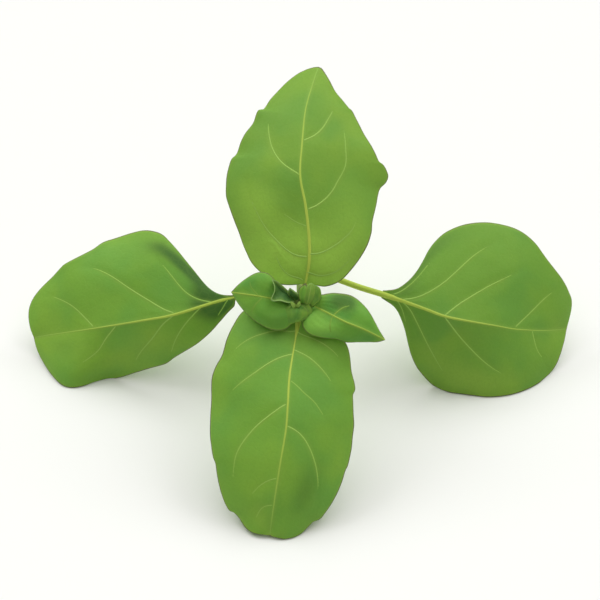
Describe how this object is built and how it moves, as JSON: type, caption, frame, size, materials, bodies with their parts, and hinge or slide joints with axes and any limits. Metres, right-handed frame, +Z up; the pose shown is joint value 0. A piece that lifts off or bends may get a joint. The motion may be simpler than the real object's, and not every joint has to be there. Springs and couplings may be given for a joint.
{
  "type": "basil sprig",
  "caption": "Fresh basil shoot tip lying on its side, with two crossed pairs of broad leaves, a small young pair and a bud on a squarish stem.",
  "frame": {"origin": "middle of the sprig's footprint, on the flat surface it lies on", "axes": "+Z up from the surface, +X from the left leaf to the right leaf, +Y from the front leaf's tip back to the stem's cut end"},
  "size_m": [0.1638, 0.1235, 0.0818],
  "materials": {
    "stem": "satin yellow-green living stem",
    "leaf": "soft satin green leaf with lighter veins",
    "young_leaf": "soft satin darker green young leaf"
  },
  "bodies": {
    "root": {"stem": "stem", "leaf_back": "leaf", "leaf_front": "leaf", "leaf_left": "leaf", "leaf_right": "leaf", "small_leaf_left": "young_leaf", "small_leaf_right": "young_leaf", "bud": "young_leaf"}
  },
  "joints": []
}
